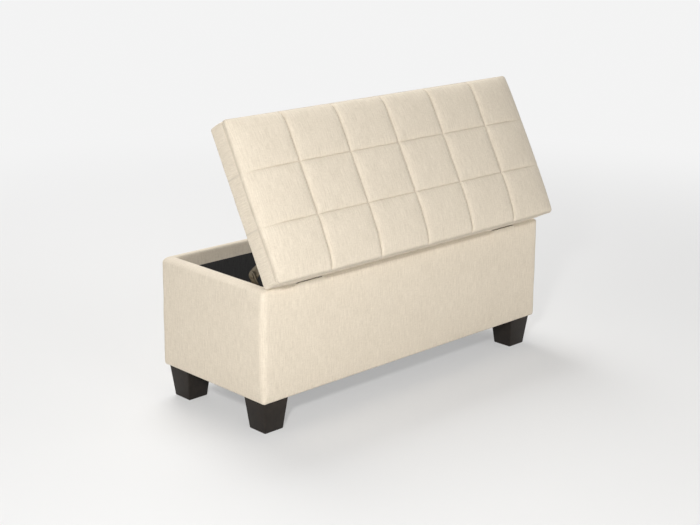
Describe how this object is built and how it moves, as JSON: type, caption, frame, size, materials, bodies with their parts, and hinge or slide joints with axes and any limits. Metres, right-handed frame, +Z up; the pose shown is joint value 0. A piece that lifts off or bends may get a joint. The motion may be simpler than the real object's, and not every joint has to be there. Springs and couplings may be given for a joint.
{
  "type": "storage bench",
  "caption": "Long upholstered storage bench: fabric-covered box on tapered black feet, with a quilted padded lid that hinges open on folding stays over a lined compartment.",
  "frame": {"origin": "middle of the footprint of the box, on the floor", "axes": "+X along the bench, -Y the hinge side, +Z up; the lid rests open as pictured"},
  "size_m": [1.016, 0.4463, 0.7598],
  "materials": {
    "cream_fabric": "matte",
    "black_lining": "matte",
    "black_dust_cloth": "matte",
    "seat_foam": "matte",
    "board": "matte",
    "black_foot": "satin",
    "bronze_steel": "satin",
    "nylon": "satin",
    "zinc_steel": "satin"
  },
  "bodies": {
    "box": {"box_cover": "cream_fabric", "wall_lining": "black_lining", "floor_lining": "black_lining", "base_dust_cover": "black_dust_cloth", "left_end_panel": "board", "right_end_panel": "board", "front_panel": "board", "hinge_side_panel": "board", "bottom_panel": "board", "corner_blocks": "board", "bottom_battens": "board", "hinge_left_foot": "black_foot", "hinge_right_foot": "black_foot", "front_left_foot": "black_foot", "front_right_foot": "black_foot", "left_hinge_box_leaf": "bronze_steel", "left_hinge_pin": "bronze_steel", "left_stay_wall_bracket": "bronze_steel", "right_hinge_box_leaf": "bronze_steel", "right_hinge_pin": "bronze_steel", "right_stay_wall_bracket": "bronze_steel", "foot_bolts": "zinc_steel", "foot_plates": "zinc_steel", "box_hinge_screws": "zinc_steel", "wall_stay_screws": "zinc_steel"},
    "lid": {"lid_panel": "board", "lid_foam": "seat_foam", "quilted_top": "cream_fabric", "lid_boxing": "cream_fabric", "lid_dust_cover": "black_dust_cloth", "left_hinge_lid_leaf": "bronze_steel", "right_hinge_lid_leaf": "bronze_steel", "lid_hinge_screws": "zinc_steel", "left_stay_lid_bracket": "bronze_steel", "right_stay_lid_bracket": "bronze_steel", "lid_stay_screws": "zinc_steel"},
    "left_lower_arm": {"left_stay_lower_arm": "bronze_steel", "left_stay_elbow_rivet": "bronze_steel", "left_stay_friction_washer": "nylon"},
    "left_upper_arm": {"left_stay_upper_arm": "bronze_steel"},
    "right_lower_arm": {"right_stay_lower_arm": "bronze_steel", "right_stay_elbow_rivet": "bronze_steel", "right_stay_friction_washer": "nylon"},
    "right_upper_arm": {"right_stay_upper_arm": "bronze_steel"}
  },
  "joints": [
    {"name": "lid_hinge", "type": "hinge", "parent": "box", "child": "lid", "pos_m": [0, -0.1995, 0.37125], "axis": [1, 0, 0], "range_deg": [-61.6, 18.4]},
    {"name": "left_lower_arm_pivot", "type": "hinge", "parent": "box", "child": "left_lower_arm", "pos_m": [0, -0.1555, 0.3225], "axis": [1, 0, 0], "range_deg": [-61.6, 18.4]},
    {"name": "left_upper_arm_pivot", "type": "hinge", "parent": "lid", "child": "left_upper_arm", "pos_m": [0, -0.15349, 0.43164], "axis": [1, 0, 0], "range_deg": [-18.4, 61.6]},
    {"name": "right_lower_arm_pivot", "type": "hinge", "parent": "box", "child": "right_lower_arm", "pos_m": [0, -0.1555, 0.3225], "axis": [1, 0, 0], "range_deg": [-61.6, 18.4]},
    {"name": "right_upper_arm_pivot", "type": "hinge", "parent": "lid", "child": "right_upper_arm", "pos_m": [0, -0.15349, 0.43164], "axis": [1, 0, 0], "range_deg": [-18.4, 61.6]}
  ],
  "couplings": [
    {"joint": "left_lower_arm_pivot", "follows": "lid_hinge", "ratio": 1},
    {"joint": "left_upper_arm_pivot", "follows": "lid_hinge", "ratio": -1},
    {"joint": "right_lower_arm_pivot", "follows": "lid_hinge", "ratio": 1},
    {"joint": "right_upper_arm_pivot", "follows": "lid_hinge", "ratio": -1}
  ]
}
